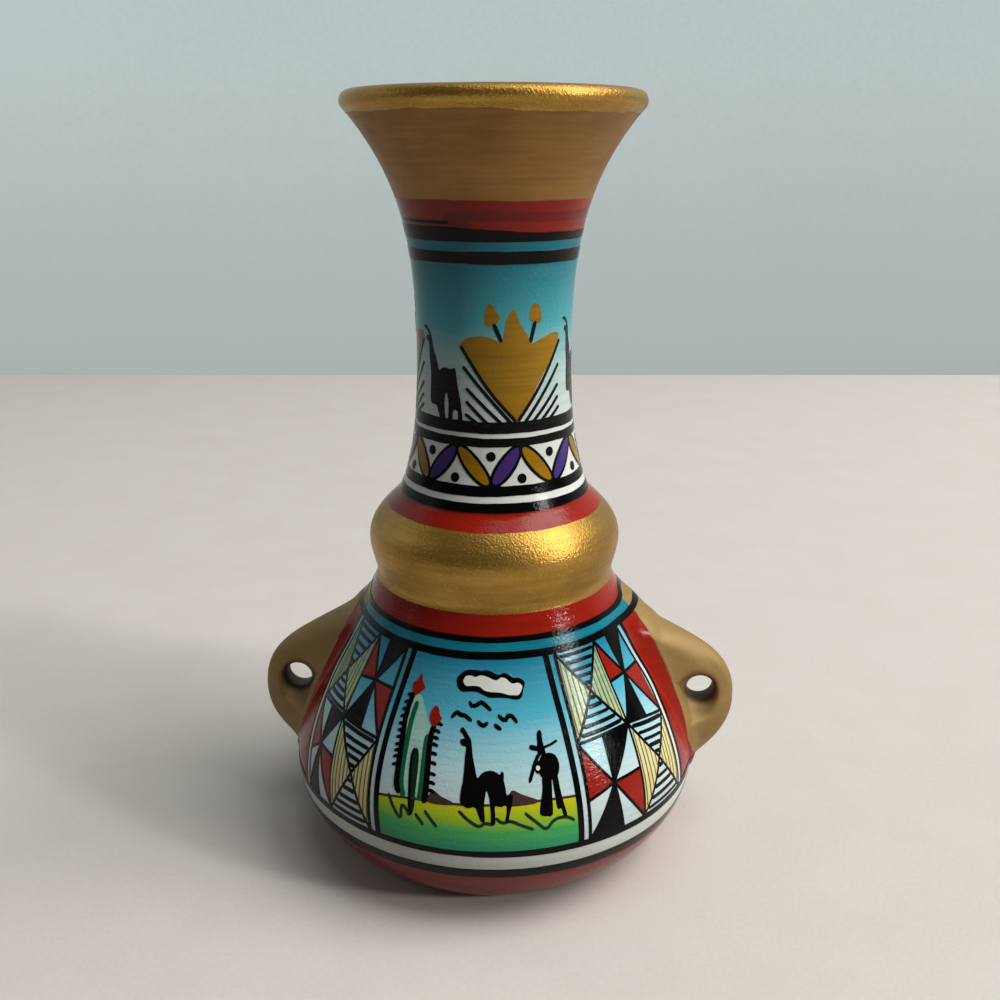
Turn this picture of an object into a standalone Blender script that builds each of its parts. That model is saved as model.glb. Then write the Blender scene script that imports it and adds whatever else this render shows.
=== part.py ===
"""Terracotta vase: a thrown belly, collar and neck luted one on another, with two pierced lugs.

Metres, +Z up. The origin is the middle of the base, the lugs lie along X and the front faces -Y.
Every turned outline is a list of (radius, height) pairs.
"""
import math

import bmesh
import bpy
from mathutils import Vector
from mathutils.geometry import interpolate_bezier

# The layer of slip between two pieces, and the half-lap that seats one section on the next.
SLIP_GAP = 0.0003
LAP_DEPTH = 0.003
LAP_SHARE = 0.5

# Belly: base, widest girth and the groove under the collar.
BASE_RADIUS = 0.029
BELLY_RADIUS = 0.0397
BELLY_WIDEST_HEIGHT = 0.0166
BELLY_HEIGHT = 0.0544
SHOULDER_RADIUS = 0.0225
BELLY_WALL = 0.0042
FLOOR_THICKNESS = 0.005
FOOT_ANGLE = math.radians(30)
FOOT_HANDLE = 0.0053
GIRTH_HANDLE_BELOW = 0.0076
GIRTH_HANDLE_ABOVE = 0.0099
SHOULDER_LEAN = math.radians(20)
SHOULDER_HANDLE = 0.0166

# Collar: a bulging ring that turns in to the foot of the neck.
COLLAR_RADIUS = 0.0239
COLLAR_HEIGHT = 0.0155
COLLAR_WIDEST_HEIGHT = 0.0063
COLLAR_WALL = 0.0046
COLLAR_HANDLE_BELOW = 0.0018
COLLAR_HANDLE_ABOVE = 0.0036
COLLAR_TOP_ANGLE = math.radians(42)
COLLAR_TOP_HANDLE = 0.005

# Neck: a waisted tube with a flared throat and a rolled lip.
NECK_HEIGHT = 0.0695
NECK_FOOT_RADIUS = 0.0178
NECK_WAIST_RADIUS = 0.0141
NECK_WAIST_HEIGHT = 0.026
NECK_WALL = 0.0036
NECK_FOOT_LEAN = math.radians(25)
NECK_FOOT_HANDLE = 0.0053
WAIST_HANDLE_BELOW = 0.013
WAIST_HANDLE_ABOVE = 0.0185
LIP_RADIUS = 0.0261
FLARE_ANGLE = math.radians(50)
FLARE_HANDLE = 0.0148

# Lugs: flat ears that sweep off the shoulder, round over and run back into the belly.
LUG_TOP_DROP = 0.0019
LUG_BOTTOM = 0.0135
LUG_PROJECTION = 0.0113
LUG_CROWN_HEIGHT = 0.0275
LUG_CROWN_RISE = 0.015
LUG_SWEEP_OUT = 0.0065
LUG_SWEEP_DROP = 0.0105
LUG_CHIN_DROP = 0.0065
LUG_TAIL_OUT = 0.0055
LUG_TAIL_RISE = 0.003
LUG_TIP = 0.0006
LUG_THICKNESS = 0.0076
LUG_ROOT_FLARE = 0.0016
LUG_ROOT_FILLET = 0.0034
LUG_EDGE_ROUND = 0.0032
LUG_HOLE_RADIUS = 0.00305
LUG_HOLE_RISE = 0.0015
LUG_HOLE_WEB = 0.0017
LUG_HOLE_MOUTH = 0.0009

# How finely round stretches are cut.
TURN_STEPS = 48
CURVE_STEPS = 7
LIP_STEPS = 6
LUG_ROWS = 18
LUG_COLUMNS = 7
ROOT_COLUMNS = 4
HOLE_STEPS = 24
MOUTH_STEPS = 4
MERGE_DISTANCE = 0.000001

# Heights at which one section is luted to the next.
COLLAR_BASE = BELLY_HEIGHT + SLIP_GAP
COLLAR_TOP = COLLAR_BASE + COLLAR_HEIGHT
NECK_BASE = COLLAR_TOP + SLIP_GAP
NECK_TOP = NECK_BASE + NECK_HEIGHT

# Heights on the lugs: the upper tip stops short of the groove, and the hole lies by the crown.
LUG_TOP = BELLY_HEIGHT - LUG_TOP_DROP
LUG_HOLE_HEIGHT = LUG_CROWN_HEIGHT + LUG_HOLE_RISE


def curve(start, start_handle, end_handle, end, steps=CURVE_STEPS):
    """Points along one cubic, both ends included."""
    knots = [Vector(point) for point in (start, start_handle, end_handle, end)]
    return [tuple(point) for point in interpolate_bezier(*knots, steps + 1)]


def towards(point, angle, distance):
    """The point moved by a distance along an angle above the outward radius."""
    return (point[0] + distance * math.cos(angle), point[1] + distance * math.sin(angle))


def inner_face(outer, wall):
    """The other side of a wall whose outer face runs upwards through these points."""
    inner = []
    for index, (radius, height) in enumerate(outer):
        before = outer[max(index - 1, 0)]
        after = outer[min(index + 1, len(outer) - 1)]
        along = Vector((after[0] - before[0], after[1] - before[1])).normalized()
        inner.append((radius - wall * along.y, height + wall * along.x))
    return inner


def radius_at(profile, height):
    """The radius of a rising outline at one height."""
    for (low_radius, low), (high_radius, high) in zip(profile, profile[1:]):
        if low <= height <= high:
            share = (height - low) / (high - low)
            return low_radius + share * (high_radius - low_radius)
    nearest = min(profile, key=lambda point: abs(point[1] - height))
    return nearest[0]


def above(profile, height):
    """The part of a rising outline over one height, starting exactly on it."""
    return [(radius_at(profile, height), height)] + [point for point in profile if point[1] > height]


def belly_outside():
    base_edge = (BASE_RADIUS, 0.0)
    girth = (BELLY_RADIUS, BELLY_WIDEST_HEIGHT)
    groove = (SHOULDER_RADIUS, BELLY_HEIGHT)
    foot = curve(base_edge, towards(base_edge, FOOT_ANGLE, FOOT_HANDLE),
                 (BELLY_RADIUS, BELLY_WIDEST_HEIGHT - GIRTH_HANDLE_BELOW), girth)
    shoulder = curve(girth, (BELLY_RADIUS, BELLY_WIDEST_HEIGHT + GIRTH_HANDLE_ABOVE),
                     towards(groove, SHOULDER_LEAN - math.pi / 2, SHOULDER_HANDLE), groove)
    return foot + shoulder[1:]


def neck_outside():
    foot = (NECK_FOOT_RADIUS, NECK_BASE)
    waist = (NECK_WAIST_RADIUS, NECK_BASE + NECK_WAIST_HEIGHT)
    roll = NECK_WALL / 2
    roll_centre = (LIP_RADIUS - roll, NECK_TOP - roll)
    lip = towards(roll_centre, FLARE_ANGLE - math.pi / 2, roll)
    lower = curve(foot, towards(foot, NECK_FOOT_LEAN + math.pi / 2, NECK_FOOT_HANDLE),
                  (NECK_WAIST_RADIUS, waist[1] - WAIST_HANDLE_BELOW), waist)
    upper = curve(waist, (NECK_WAIST_RADIUS, waist[1] + WAIST_HANDLE_ABOVE),
                  towards(lip, FLARE_ANGLE + math.pi, FLARE_HANDLE), lip)
    return lower + upper[1:], roll_centre


def lap_at_groove():
    """Inner radius of the mouth of the belly, and the outer radius of its standing spigot."""
    bore = inner_face(belly_outside(), BELLY_WALL)[-1][0]
    return bore, bore + LAP_SHARE * (SHOULDER_RADIUS - bore) - SLIP_GAP / 2


def lap_at_neck():
    """Inner radius of the foot of the neck, and the outer radius of the spigot that enters it."""
    outer, _ = neck_outside()
    bore = radius_at(inner_face(outer, NECK_WALL), NECK_BASE + LAP_DEPTH)
    return bore, bore + LAP_SHARE * NECK_WALL - SLIP_GAP / 2


def belly_profile():
    """From the middle of the underside round the wall to the middle of the floor."""
    outer = belly_outside()
    bore, spigot = lap_at_groove()
    inner = above(inner_face(outer, BELLY_WALL), FLOOR_THICKNESS)
    spigot_top = BELLY_HEIGHT + LAP_DEPTH
    seat = [(spigot, BELLY_HEIGHT), (spigot, spigot_top), (bore, spigot_top)]
    return [(0.0, 0.0)] + outer + seat + inner[::-1] + [(0.0, FLOOR_THICKNESS)]


def collar_profile():
    """A closed loop: the bulge, the spigot for the neck, the inside and the rebate on the belly."""
    lower_bore, lower_spigot = lap_at_groove()
    upper_bore, upper_spigot = lap_at_neck()
    foot = (SHOULDER_RADIUS, COLLAR_BASE)
    bulge = (COLLAR_RADIUS, COLLAR_BASE + COLLAR_WIDEST_HEIGHT)
    crease = (NECK_FOOT_RADIUS, COLLAR_TOP)
    rebate = lower_spigot + SLIP_GAP
    rebate_top = COLLAR_BASE + LAP_DEPTH
    spigot_top = COLLAR_TOP + LAP_DEPTH
    outside = curve(foot, foot, (COLLAR_RADIUS, bulge[1] - COLLAR_HANDLE_BELOW), bulge)
    outside += curve(bulge, (COLLAR_RADIUS, bulge[1] + COLLAR_HANDLE_ABOVE),
                     towards(crease, -COLLAR_TOP_ANGLE, COLLAR_TOP_HANDLE), crease)[1:]
    spigot = [(upper_spigot, COLLAR_TOP), (upper_spigot, spigot_top), (upper_bore, spigot_top)]
    inside = curve((upper_bore, COLLAR_TOP), towards(crease, -math.pi / 2, COLLAR_WALL),
                   (COLLAR_RADIUS - COLLAR_WALL, bulge[1]), (lower_bore, rebate_top))
    return outside + spigot + inside + [(rebate, rebate_top), (rebate, COLLAR_BASE)]


def neck_profile():
    """A closed loop: the outside, the rolled lip, the inside and the rebate on the collar."""
    outer, roll_centre = neck_outside()
    _, spigot = lap_at_neck()
    seat_top = NECK_BASE + LAP_DEPTH
    inner = above(inner_face(outer, NECK_WALL), seat_top)
    first = FLARE_ANGLE - math.pi / 2
    turns = [first + math.pi * step / LIP_STEPS for step in range(1, LIP_STEPS)]
    lip = [towards(roll_centre, turn, NECK_WALL / 2) for turn in turns]
    rebate = spigot + SLIP_GAP
    return outer + lip + inner[::-1] + [(rebate, seat_top), (rebate, NECK_BASE)]


def finished(name, shape, material):
    """An object from a working mesh, with its faces outwards and its round faces smooth."""
    bmesh.ops.remove_doubles(shape, verts=shape.verts, dist=MERGE_DISTANCE)
    bmesh.ops.recalc_face_normals(shape, faces=shape.faces)
    mesh = bpy.data.meshes.new(name)
    shape.to_mesh(mesh)
    shape.free()
    mesh.shade_smooth()
    mesh.set_sharp_from_angle(angle=math.radians(40))
    if material:
        mesh.materials.append(material)
    thing = bpy.data.objects.new(name, mesh)
    bpy.context.scene.collection.objects.link(thing)
    return thing


def turned(name, profile, closed, material):
    """A profile turned once about the vertical axis."""
    shape = bmesh.new()
    points = [shape.verts.new((radius, 0.0, height)) for radius, height in profile]
    edges = [shape.edges.new(pair) for pair in zip(points, points[1:])]
    if closed:
        edges.append(shape.edges.new((points[-1], points[0])))
    bmesh.ops.spin(shape, geom=points + edges, cent=(0, 0, 0), axis=(0, 0, 1),
                   angle=math.tau, steps=TURN_STEPS, use_merge=True)
    return finished(name, shape, material)


def lug_outline(body):
    """The ear's edge from its top tip over the crown to its bottom tip, seen along Y."""
    top = (radius_at(body, LUG_TOP) + SLIP_GAP + LUG_TIP, LUG_TOP)
    crown = (radius_at(body, LUG_CROWN_HEIGHT) + LUG_PROJECTION, LUG_CROWN_HEIGHT)
    bottom = (radius_at(body, LUG_BOTTOM) + SLIP_GAP + LUG_TIP, LUG_BOTTOM)
    sweep = curve(top, (top[0] + LUG_SWEEP_OUT, top[1] - LUG_SWEEP_DROP),
                  (crown[0], crown[1] + LUG_CROWN_RISE), crown, LUG_ROWS // 2)
    chin = curve(crown, (crown[0], crown[1] - LUG_CHIN_DROP),
                 (bottom[0] + LUG_TAIL_OUT, bottom[1] + LUG_TAIL_RISE), bottom, LUG_ROWS // 2)
    return sweep + chin[1:]


def lug_half_thickness(from_root, from_edge):
    """Half the ear's thickness: flared at the root, even in the middle and round at the edge."""
    even = LUG_THICKNESS / 2
    near_edge = max(0.0, 1.0 - from_edge / LUG_EDGE_ROUND)
    near_root = max(0.0, 1.0 - from_root / LUG_ROOT_FILLET)
    rounded = even * math.sqrt(1.0 - near_edge ** 2)
    return rounded + LUG_ROOT_FLARE * near_root ** 2 * (1.0 - near_edge)


def lug(name, side, material):
    """One ear, its root lying a slip gap off the belly; side is +1 to the right, -1 to the left."""
    body = belly_outside()
    outline = lug_outline(body)
    shape = bmesh.new()
    rings = []
    for row, edge in enumerate(outline):
        height = LUG_TOP + (LUG_BOTTOM - LUG_TOP) * row / LUG_ROWS
        seat = radius_at(body, height) + SLIP_GAP
        root = Vector((seat, height))
        across = Vector(edge) - root
        ring = []
        for column in range(LUG_COLUMNS + 1):
            share = math.sin(math.pi / 2 * column / LUG_COLUMNS)
            place = root + share * across
            half = lug_half_thickness(share * across.length, (1.0 - share) * across.length)
            ring.append((place.x, half, place.y))
        half_root = ring[0][1]
        spread = [half_root * (1 - 2 * step / ROOT_COLUMNS) for step in range(ROOT_COLUMNS + 1)]
        seat_row = [(math.sqrt(seat ** 2 - y ** 2), y, height) for y in spread]
        loop = seat_row + [(x, -y, z) for x, y, z in ring[1:-1]] + [(ring[-1][0], 0.0, ring[-1][2])]
        loop += ring[-2:0:-1]
        rings.append([shape.verts.new((side * x, y, z)) for x, y, z in loop])
    for upper, lower in zip(rings, rings[1:]):
        for here in range(len(upper)):
            after = (here + 1) % len(upper)
            shape.faces.new((upper[here], upper[after], lower[after], lower[here]))
    shape.faces.new(rings[0])
    shape.faces.new(rings[-1])
    ear = finished(name, shape, material)
    pierce(ear, side, radius_at(body, LUG_HOLE_HEIGHT) + SLIP_GAP + LUG_HOLE_WEB + LUG_HOLE_RADIUS)
    return ear


def pierce(ear, side, reach):
    """The hole through an ear along Y, its two mouths rounded over by the thumb."""
    face = LUG_THICKNESS / 2
    wide = LUG_HOLE_RADIUS + LUG_HOLE_MOUTH
    outside = LUG_THICKNESS + LUG_ROOT_FLARE
    quarter = [math.pi / 2 * step / MOUTH_STEPS for step in range(MOUTH_STEPS + 1)]
    mouth = [(wide - LUG_HOLE_MOUTH * math.cos(turn), face - LUG_HOLE_MOUTH * (1 - math.sin(turn)))
             for turn in quarter]
    near_half = mouth + [(wide, outside), (0.0, outside)]
    profile = [(radius, -along) for radius, along in near_half[::-1]] + near_half
    shape = bmesh.new()
    points = [shape.verts.new((radius, along, 0.0)) for radius, along in profile]
    edges = [shape.edges.new(pair) for pair in zip(points, points[1:])]
    bmesh.ops.spin(shape, geom=points + edges, cent=(0, 0, 0), axis=(0, 1, 0),
                   angle=math.tau, steps=HOLE_STEPS, use_merge=True)
    drill = finished(ear.name + "_drill", shape, None)
    drill.location = (side * reach, 0.0, LUG_HOLE_HEIGHT)
    drill.hide_render = True
    drill.display_type = "WIRE"
    cut = ear.modifiers.new("hole", "BOOLEAN")
    cut.operation = "DIFFERENCE"
    cut.solver = "EXACT"
    cut.object = drill


def finish_of(name, colour, roughness, metallic):
    """A plain painted finish."""
    material = bpy.data.materials.new(name)
    material.use_nodes = True
    shader = material.node_tree.nodes["Principled BSDF"]
    shader.inputs["Base Color"].default_value = (*colour, 1.0)
    shader.inputs["Roughness"].default_value = roughness
    shader.inputs["Metallic"].default_value = metallic
    return material


def build():
    for thing in list(bpy.data.objects):
        bpy.data.objects.remove(thing)
    red_glaze = finish_of("varnished_red_paint", (0.32, 0.03, 0.015), 0.3, 0.0)
    gold = finish_of("gold_paint", (0.35, 0.2, 0.05), 0.35, 0.7)
    blue_glaze = finish_of("varnished_blue_paint", (0.08, 0.3, 0.37), 0.35, 0.0)
    dull_gold = finish_of("dull_gold_wash", (0.3, 0.19, 0.09), 0.6, 0.2)
    turned("belly", belly_profile(), False, red_glaze)
    turned("collar", collar_profile(), True, gold)
    turned("neck", neck_profile(), True, blue_glaze)
    lug("lug_left", -1, dull_gold)
    lug("lug_right", 1, dull_gold)


build()
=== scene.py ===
"""The painted terracotta vase as it looks: clay bodies, the coats of paint on them, and a plain studio.

Places on the pot are written as (angle, height): degrees round the axis from the picture side, and mm up.
A side is -1 towards the left lug and 1 towards the right one.
"""

import bisect
import random
from collections import Counter, namedtuple
from itertools import accumulate
from math import ceil, cos, degrees, exp, hypot, log, pi, radians, sin, sqrt, tau

import bmesh
import bpy
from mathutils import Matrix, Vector
from mathutils.geometry import delaunay_2d_cdt


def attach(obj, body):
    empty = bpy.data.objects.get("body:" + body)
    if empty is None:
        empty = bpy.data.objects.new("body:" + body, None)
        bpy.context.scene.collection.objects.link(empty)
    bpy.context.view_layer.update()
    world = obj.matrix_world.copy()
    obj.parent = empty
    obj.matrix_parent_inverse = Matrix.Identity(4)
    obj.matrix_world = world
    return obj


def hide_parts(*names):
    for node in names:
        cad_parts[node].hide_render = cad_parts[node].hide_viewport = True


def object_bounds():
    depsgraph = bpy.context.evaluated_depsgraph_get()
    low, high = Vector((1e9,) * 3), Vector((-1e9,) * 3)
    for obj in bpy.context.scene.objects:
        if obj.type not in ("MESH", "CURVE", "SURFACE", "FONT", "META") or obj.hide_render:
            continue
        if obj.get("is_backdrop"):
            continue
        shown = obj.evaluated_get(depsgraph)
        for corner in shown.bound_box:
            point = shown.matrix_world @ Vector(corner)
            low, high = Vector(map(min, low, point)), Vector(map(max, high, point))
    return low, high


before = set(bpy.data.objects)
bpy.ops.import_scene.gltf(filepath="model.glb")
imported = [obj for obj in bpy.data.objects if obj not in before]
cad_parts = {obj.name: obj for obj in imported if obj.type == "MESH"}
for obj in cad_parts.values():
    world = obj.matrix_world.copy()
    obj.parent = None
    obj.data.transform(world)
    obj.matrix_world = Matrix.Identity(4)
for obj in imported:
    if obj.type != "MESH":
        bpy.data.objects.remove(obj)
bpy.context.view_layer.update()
scene = bpy.context.scene

MM = 0.001
SIDES = (-1, 1)
BELLY, COLLAR, NECK, LUG = "belly_paint", "collar_gold", "neck_paint", "lug_gold"
BELLY_TURNS, FINE_TURNS, NECK_TURNS = 240, 480, 180

# Depths of the clay's skin and the paint's undersides, and heights of the coats from first to last
CLAY_DEPTH, SINK = 0.17, 0.29
BASE_LIFT, PANEL_LIFT, COLOUR_LIFT, LINE_LIFT, TOP_LIFT = -0.13, -0.10, -0.07, -0.04, -0.01


# The turned outline

def outline(start, *curves, steps=40):
    """Points from a start along cubic curves, each given by its two handles and its end."""
    points = [start]
    for curve in curves:
        corners = (points[-1], *curve)
        for step in range(1, steps + 1):
            t = step / steps
            s = 1 - t
            weights = (s ** 3, 3 * s * s * t, 3 * s * t * t, t ** 3)
            points.append(tuple(sum(w * p[i] for w, p in zip(weights, corners)) for i in (0, 1)))
    return points


BELLY_OUT = outline((29.0, 0.0), ((33.59, 2.65), (39.7, 9.0), (39.7, 16.6)),
                    ((39.7, 26.5), (28.18, 38.8), (22.5, 54.4)))
COLLAR_OUT = outline((22.5, 54.7), ((22.5, 54.7), (23.9, 59.2), (23.9, 61.0)),
                     ((23.9, 64.6), (21.52, 66.85), (17.8, 70.2)))
NECK_OUT = outline((17.8, 70.5), ((15.56, 75.3), (14.1, 83.5), (14.1, 96.5)),
                   ((14.1, 115.0), (16.17, 125.7), (25.68, 137.04)))
OUTSIDE = BELLY_OUT + COLLAR_OUT + NECK_OUT
OUTSIDE_HEIGHTS = [z for _, z in OUTSIDE]
LIP_CENTRE, LIP_RADIUS, LIP_START, LIP_END = (24.3, 138.15), 1.8, -30, 140
LIP = [(LIP_CENTRE[0] + LIP_RADIUS * cos(radians(a)),
        LIP_CENTRE[1] + LIP_RADIUS * sin(radians(a))) for a in range(LIP_START, LIP_END + 1, 10)]


def outside(height):
    """Radius of the pot's outside at a height, and the outward direction there as (radial, up)."""
    i = bisect.bisect_left(OUTSIDE_HEIGHTS, height, 1, len(OUTSIDE) - 1)
    (r0, z0), (r1, z1) = OUTSIDE[i - 1], OUTSIDE[i]
    share = (height - z0) / (z1 - z0)
    length = hypot(r1 - r0, z1 - z0)
    return r0 + share * (r1 - r0), (z1 - z0) / length, (r0 - r1) / length


def inside(profile, wall):
    """A profile moved in by the wall's thickness, across it."""
    moved = []
    for before, here, after in zip([profile[0]] + profile, profile, profile[1:] + [profile[-1]]):
        across = Vector((after[1] - before[1], before[0] - after[0])).normalized() * wall
        moved.append((here[0] - across.x, here[1] - across.y))
    return moved


def round_at(angle, radius, height):
    """A point on a circle round the axis, in metres."""
    turn = radians(angle)
    return Vector((radius * sin(turn), -radius * cos(turn), height)) * MM


def ease(value, start, end):
    """0 to 1 from start to end, softly, and held outside them."""
    share = min(1.0, max(0.0, (value - start) / (end - start)))
    return share * share * (3 - 2 * share)


# The belly's clay, smeared onto the lugs: where its ridge starts on the shoulder, the ridge's slope, and how
# far the clay goes up the lug's flanks, low down and high up

Smear = namedtuple("Smear", "top slope low high")
SMEARS = {-1: Smear(50.2, 0.27, 0.8, 2.0), 1: Smear(52.0, 0.45, 2.0, 4.5)}
FLANK_REACH, FLANK_SPREAD = 9.0, 2.0
FLANK_GROWS, SMEAR_GROWS, RIDGE_GROWS = (11, 24), (29, 38), (41, 46)
RIDGE_HALF, RIDGE_STEP, RIDGE_SOFT = 6, 2.2, 4
RIDGE_BEND, RIDGE_KNEE = 0.06, 46.5


def from_lug(angle, side):
    """Degrees round the axis from the middle of a lug."""
    return (angle - 90 * side + 180) % 360 - 180


def smear(side, height):
    """How far the clay goes up a lug's flank at a height, and how much of the flank is there, 0 to 1."""
    low, high = SMEARS[side].low, SMEARS[side].high
    return low + (high - low) * ease(height, *SMEAR_GROWS), ease(height, *FLANK_GROWS)


def ridge(side, height):
    """How far the ridge over a lug stands out of the shoulder."""
    top, slope = SMEARS[side].top, SMEARS[side].slope
    start = slope * (top + RIDGE_STEP - height) * ease(top - height, 0, RIDGE_SOFT)
    return start + RIDGE_BEND * max(0.0, RIDGE_KNEE - height) ** 2


def swell(angle, height, radius):
    """How far the belly swells out: low down into the lugs' hollow flanks, higher up into their ridges."""
    total = 0.0
    for side in SIDES:
        away = abs(radians(from_lug(angle, side))) * radius
        if away < 2 * FLANK_REACH and height < SMEARS[side].top:
            most, foot = smear(side, height)
            climb = (max(0.0, FLANK_REACH - away) / FLANK_SPREAD) ** 2
            flank = foot * climb / (1 + (climb / most) ** 4) ** 0.25
            crown = ridge(side, height) * exp(-(away / RIDGE_HALF) ** 2)
            total += flank + (crown - flank) * ease(height, *RIDGE_GROWS)
    return total


def on_pot(angle, height, lift):
    """A point over the pot's outside."""
    radius, out, up = outside(height)
    return round_at(angle, radius + swell(angle, height, radius) + out * lift, height + up * lift)


# Pieces

def new_object(name, data):
    """An object in the scene."""
    made = bpy.data.objects.new(name, data)
    scene.collection.objects.link(made)
    return made


def new_solid(name, shape):
    """An object with a closed mesh from a bmesh."""
    bmesh.ops.recalc_face_normals(shape, faces=shape.faces)
    mesh = bpy.data.meshes.new(name)
    shape.to_mesh(mesh)
    shape.free()
    return new_object(name, mesh)


def add_piece(name, shape, material, replaced=None, crease=40):
    """A closed piece that rides on the part, with a material."""
    piece = new_solid(name, shape)
    piece.data.shade_smooth()
    piece.data.set_sharp_from_angle(angle=radians(crease))
    piece.data.materials.append(material)
    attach(piece, "root")
    if replaced:
        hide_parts(replaced)
    return piece


def turned(profile, turns):
    """A bmesh turned round the axis from a closed loop of (radius, height); radius 0 is on the axis."""
    shape = bmesh.new()
    columns = []
    poles = {i: shape.verts.new((0, 0, z * MM)) for i, (r, z) in enumerate(profile) if r == 0}
    for turn in range(turns):
        angle = 360 * turn / turns
        columns.append([poles.get(i) or shape.verts.new(round_at(angle, r, z))
                        for i, (r, z) in enumerate(profile)])
    for left, right in zip(columns, columns[1:] + columns[:1]):
        for i in range(len(profile)):
            j = (i + 1) % len(profile)
            corners = [left[i], right[i], right[j], left[j]]
            unique = [v for k, v in enumerate(corners) if v not in corners[:k]]
            if len(unique) > 2:
                shape.faces.new(unique)
    return shape


def lofted(rings):
    """A closed bmesh through rings of points."""
    shape = bmesh.new()
    rings = [[shape.verts.new(point) for point in ring] for ring in rings]
    for upper, lower in zip(rings, rings[1:]):
        for i in range(len(upper)):
            j = (i + 1) % len(upper)
            shape.faces.new((upper[i], upper[j], lower[j], lower[i]))
    shape.faces.new(rings[0])
    shape.faces.new(rings[-1])
    return shape


# Lines

def wobble(seed, size):
    """A hand's unsteadiness along a painted edge, in mm, by angle."""
    chance = random.Random(seed)
    waves = [(n, size / sqrt(n), chance.uniform(0, tau)) for n in (2, 5, 11, 23, 41)]
    return lambda angle: sum(s * sin(n * radians(angle) + p) for n, s, p in waves)


def smoothed(points, step, closed):
    """Points about a step apart on a smooth curve through the given ones."""
    points = [Vector(p) for p in points]
    run = [points[-1], *points, *points[:2]] if closed else [points[0], *points, points[-1]]
    curve = []
    for a, b, c, d in zip(run, run[1:], run[2:], run[3:]):
        parts = max(1, ceil((c - b).length / step))
        for part in range(parts):
            t = part / parts
            curve.append(0.5 * (2 * b + (c - a) * t + (2 * a - 5 * b + 4 * c - d) * t * t
                                + (3 * b - a - 3 * c + d) * t ** 3))
    return curve if closed else curve + points[-1:]


def straight(points, step):
    """Points about a step apart along a polygon's straight sides."""
    line = []
    for a, b in zip(points, points[1:] + points[:1]):
        a, b = Vector(a), Vector(b)
        parts = max(1, ceil((b - a).length / step))
        line += [a.lerp(b, part / parts) for part in range(parts)]
    return line


def along(points, second):
    """The first number of the place where a line through rising points reaches a second number."""
    for (a0, z0), (a1, z1) in zip(points, points[1:]):
        if second <= z1:
            return a0 + (a1 - a0) * (second - z0) / (z1 - z0)
    return points[-1][0]


def between(a, b, share):
    """A place on the straight way from a to b."""
    return (a[0] + (b[0] - a[0]) * share, a[1] + (b[1] - a[1]) * share)


def placed(points, middle, hand=1, up=0.0):
    """A drawing put round an angle; hand -1 turns it about."""
    return [(middle + hand * a, z + up) for a, z in points]


def within(point, edge):
    """Whether a flat point lies in a closed edge."""
    crossed = [a.x + (point.y - a.y) * (b.x - a.x) / (b.y - a.y) for a, b in zip(edge, edge[1:] + edge[:1])
               if (a.y > point.y) != (b.y > point.y)]
    return sum(point.x < x for x in crossed) % 2 == 1


# Coats of paint

STROKE_STEP, STROKE_TAPER, STROKE_CROWN = 0.6, 0.7, 0.02
EDGE_STEP, EDGE_CLEAR = 0.6, 0.55
COAT_CREASE = 50


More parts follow.
